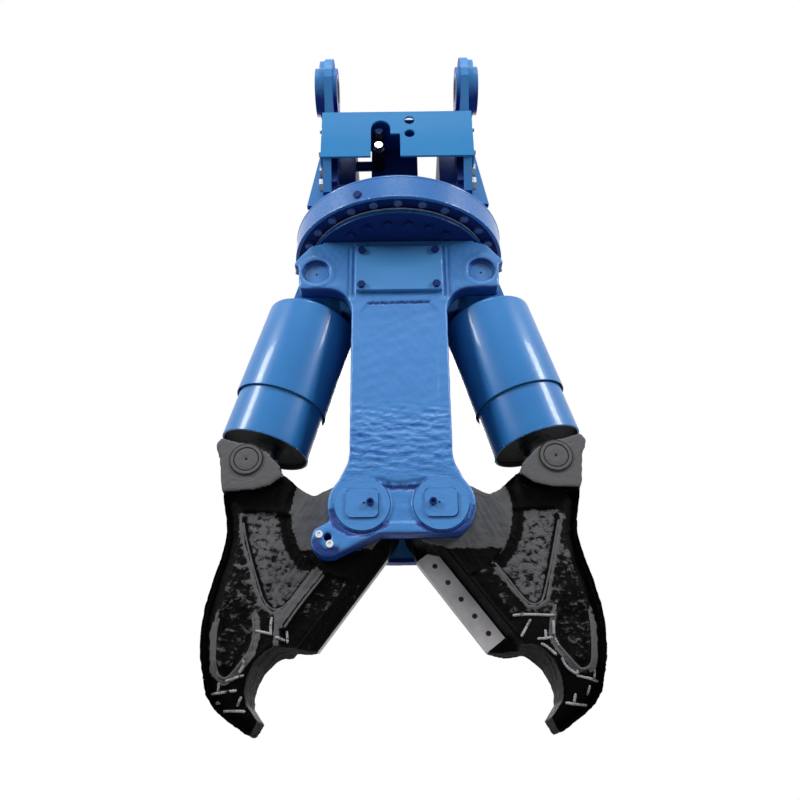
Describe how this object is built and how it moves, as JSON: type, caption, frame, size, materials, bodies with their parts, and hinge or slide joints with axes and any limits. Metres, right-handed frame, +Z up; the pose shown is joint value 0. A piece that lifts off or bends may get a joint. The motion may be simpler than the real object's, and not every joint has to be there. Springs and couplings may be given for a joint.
{
  "type": "rotating concrete pulverizer",
  "caption": "Excavator-mounted rotating concrete pulverizer with a pinned bracket, slewing drum, twin guarded cylinders and two toothed shear jaws.",
  "frame": {"origin": "centre of the front bracket pin, midway between the side plates", "axes": "+Z up along the slewing axis, -Y to the front that the picture shows, +X to the right along the bracket pins"},
  "size_m": [0.8898, 0.6154, 1.7439],
  "materials": {
    "blue_enamel": "glossy enamel, lightly worn",
    "navy_enamel": "enamel in shadow, dusty",
    "black_cast": "black paint over cast steel",
    "ground_steel": "machined",
    "zinc": "zinc-plated",
    "rod_chrome": "hard chrome, polished",
    "bearing_bronze": "turned"
  },
  "bodies": {
    "bracket": {"bracket_plate_left": "blue_enamel", "bracket_plate_right": "blue_enamel", "pin_bushes": "ground_steel", "deck_plate": "navy_enamel", "column_left": "navy_enamel", "column_right": "navy_enamel", "bracket_bolts": "zinc", "deck_bolts": "zinc", "hose_guard": "blue_enamel", "hose_guard_bolts": "zinc", "manifold_block": "navy_enamel", "port_fittings": "zinc", "fitting_caps": "zinc", "drain_pipe": "navy_enamel", "slew_motor": "navy_enamel", "drum": "blue_enamel", "drum_plugs": "navy_enamel", "outer_race": "navy_enamel", "drum_bolts": "zinc"},
    "pinion": {"pinion": "ground_steel"},
    "frame": {"inner_race": "ground_steel", "bearing_balls": "ground_steel", "race_bolts": "zinc", "swivel_core": "ground_steel", "frame": "blue_enamel", "front_cover": "blue_enamel", "rear_cover": "blue_enamel", "cover_bolts": "zinc", "main_pin_left": "ground_steel", "main_pin_right": "ground_steel", "pin_caps": "blue_enamel", "cap_bolts": "zinc", "ear_pin_left": "blue_enamel", "ear_pin_right": "blue_enamel", "guide_pads": "bearing_bronze", "guide_bolts": "zinc"},
    "left_jaw": {"jaw_left": "black_cast", "jaw_bush_left": "bearing_bronze", "blade_left": "ground_steel", "blade_bolts_left": "zinc", "rod_pin_left": "black_cast"},
    "right_jaw": {"jaw_right": "black_cast", "jaw_bush_right": "bearing_bronze", "blade_right": "ground_steel", "blade_bolts_right": "zinc", "rod_pin_right": "black_cast"},
    "left_cylinder": {"barrel_left": "blue_enamel", "gland_left": "ground_steel", "upper_guard_left": "blue_enamel"},
    "right_cylinder": {"barrel_right": "blue_enamel", "gland_right": "ground_steel", "upper_guard_right": "blue_enamel"},
    "left_rod": {"rod_left": "rod_chrome", "piston_left": "ground_steel", "lower_guard_left": "blue_enamel"},
    "right_rod": {"rod_right": "rod_chrome", "piston_right": "ground_steel", "lower_guard_right": "blue_enamel"}
  },
  "joints": [
    {"name": "slew", "type": "hinge", "parent": "bracket", "child": "frame", "pos_m": [0, 0.22, -0.44], "axis": [0, 0, 1], "continuous": true},
    {"name": "pinion_spin", "type": "hinge", "parent": "bracket", "child": "pinion", "pos_m": [0, 0.3775, -0.44], "axis": [0, 0, 1], "continuous": true},
    {"name": "right_jaw", "type": "hinge", "parent": "frame", "child": "right_jaw", "pos_m": [0.088, 0.22, -1.188], "axis": [0, 1, 0], "range_deg": [0, 35]},
    {"name": "left_jaw", "type": "hinge", "parent": "frame", "child": "left_jaw", "pos_m": [-0.088, 0.22, -1.188], "axis": [0, -1, 0], "range_deg": [0, 35]},
    {"name": "right_cylinder", "type": "hinge", "parent": "frame", "child": "right_cylinder", "pos_m": [0.214, 0.22, -0.553], "axis": [0, 1, 0], "range_deg": [-0.5, 3]},
    {"name": "left_cylinder", "type": "hinge", "parent": "frame", "child": "left_cylinder", "pos_m": [-0.214, 0.22, -0.553], "axis": [0, -1, 0], "range_deg": [-0.5, 3]},
    {"name": "right_rod", "type": "slide", "parent": "right_cylinder", "child": "right_rod", "axis": [0.2678, 0, -0.9635], "range_m": [0, 0.178]},
    {"name": "left_rod", "type": "slide", "parent": "left_cylinder", "child": "left_rod", "axis": [-0.2678, 0, -0.9635], "range_m": [0, 0.178]}
  ],
  "couplings": [
    {"joint": "pinion_spin", "follows": "slew", "ratio": 6},
    {"joint": "right_cylinder", "follows": "right_jaw", "ratio": 0.049},
    {"joint": "right_rod", "follows": "right_jaw", "m_per_rad": 0.29},
    {"joint": "left_cylinder", "follows": "left_jaw", "ratio": 0.049},
    {"joint": "left_rod", "follows": "left_jaw", "m_per_rad": 0.29}
  ]
}
